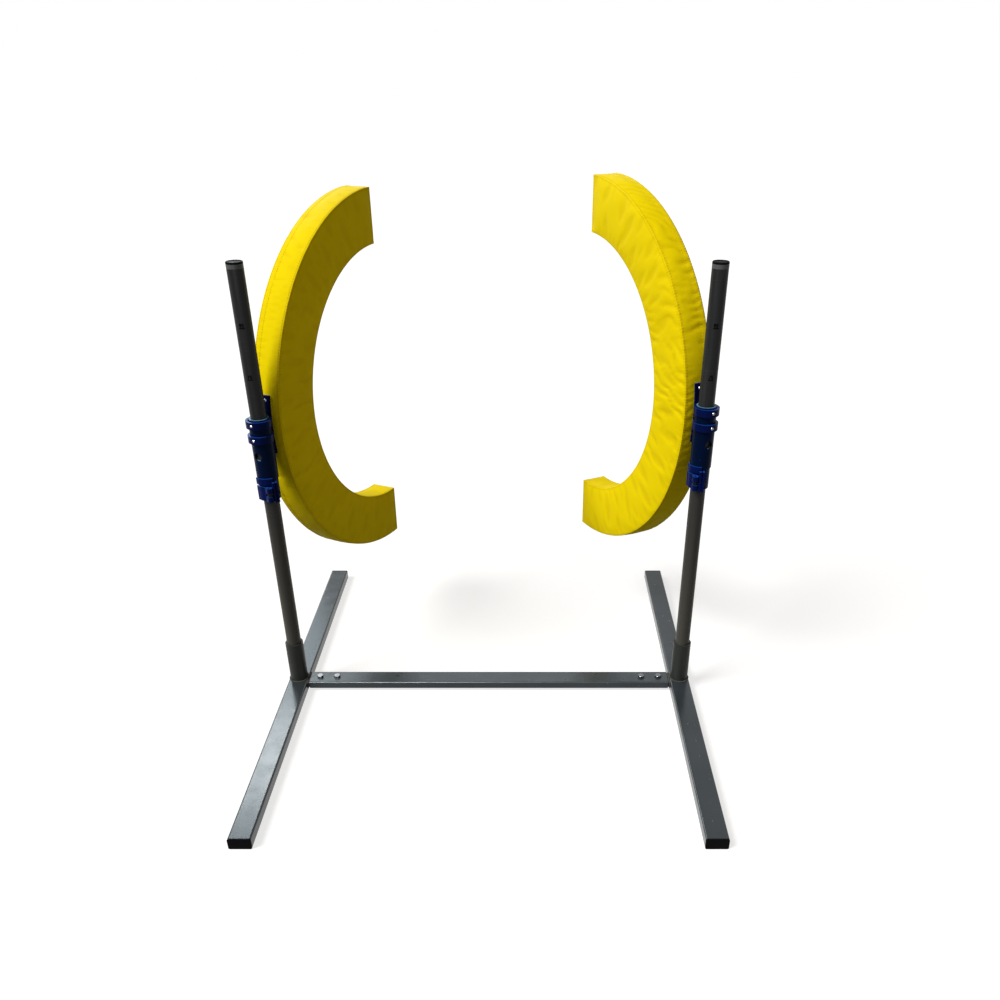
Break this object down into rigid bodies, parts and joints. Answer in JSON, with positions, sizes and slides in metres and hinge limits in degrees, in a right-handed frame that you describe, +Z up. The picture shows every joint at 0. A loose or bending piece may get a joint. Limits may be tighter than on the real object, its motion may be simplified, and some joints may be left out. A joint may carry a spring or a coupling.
{
  "type": "agility tire jump",
  "caption": "Agility tire jump for dogs: a steel floor frame with posts that carry a padded yellow ring, whose halves swing open on height-adjustable sleeves.",
  "frame": {"origin": "on the floor, midway between the posts", "axes": "+X along the crossbar to the right, +Y to the back, where the halves are swung open, +Z up"},
  "size_m": [0.9529, 1.03, 1.0809],
  "materials": {
    "frame_paint": "gloss",
    "post_paint": "satin",
    "black_plastic": "satin",
    "zinc": "satin",
    "blue_plastic": "gloss",
    "navy_plastic": "satin",
    "yellow_cover": "satin",
    "foam": "matte",
    "plywood": "matte",
    "magnet": "gloss"
  },
  "bodies": {
    "base": {"left_foot": "frame_paint", "right_foot": "frame_paint", "crossbar": "frame_paint", "left_post": "post_paint", "right_post": "post_paint", "left_socket": "post_paint", "right_socket": "post_paint", "left_crossbar_stub": "post_paint", "right_crossbar_stub": "post_paint", "left_front_foot_cap": "black_plastic", "left_back_foot_cap": "black_plastic", "right_front_foot_cap": "black_plastic", "right_back_foot_cap": "black_plastic", "left_post_cap": "black_plastic", "right_post_cap": "black_plastic", "crossbar_bolts": "zinc", "crossbar_weld_nuts": "zinc"},
    "left_clamp": {"left_clamp_collar": "blue_plastic", "left_draw_bolt": "zinc", "left_draw_nut": "zinc", "left_lever_pin": "zinc"},
    "left_lever": {"left_clamp_lever": "blue_plastic"},
    "left_half": {"left_sleeve": "blue_plastic", "left_hinge_bracket": "navy_plastic", "left_band_screws": "zinc", "left_bracket_screws": "zinc", "left_cover": "yellow_cover", "left_foam_core": "foam", "left_mounting_board": "plywood", "left_end_magnets": "magnet"},
    "right_clamp": {"right_clamp_collar": "blue_plastic", "right_draw_bolt": "zinc", "right_draw_nut": "zinc", "right_lever_pin": "zinc"},
    "right_lever": {"right_clamp_lever": "blue_plastic"},
    "right_half": {"right_sleeve": "blue_plastic", "right_hinge_bracket": "navy_plastic", "right_band_screws": "zinc", "right_bracket_screws": "zinc", "right_cover": "yellow_cover", "right_foam_core": "foam", "right_mounting_board": "plywood", "right_end_magnets": "magnet"}
  },
  "joints": [
    {"name": "left_height", "type": "slide", "parent": "base", "child": "left_clamp", "axis": [0, 0, 1], "range_m": [-0.175, 0.28]},
    {"name": "left_swing", "type": "hinge", "parent": "left_clamp", "child": "left_half", "pos_m": [-0.45, 0, 0.635], "axis": [0, 0, 1], "range_deg": [-158, 32]},
    {"name": "left_lever_turn", "type": "hinge", "parent": "left_clamp", "child": "left_lever", "pos_m": [-0.44338, -0.02812, 0.5098], "axis": [0, 0, 1], "range_deg": [0, 110]},
    {"name": "right_height", "type": "slide", "parent": "base", "child": "right_clamp", "axis": [0, 0, 1], "range_m": [-0.2, 0.255]},
    {"name": "right_swing", "type": "hinge", "parent": "right_clamp", "child": "right_half", "pos_m": [0.45, 0, 0.661], "axis": [0, 0, -1], "range_deg": [-155, 35]},
    {"name": "right_lever_turn", "type": "hinge", "parent": "right_clamp", "child": "right_lever", "pos_m": [0.437, -0.0258, 0.5358], "axis": [0, 0, 1], "range_deg": [0, 110]}
  ]
}
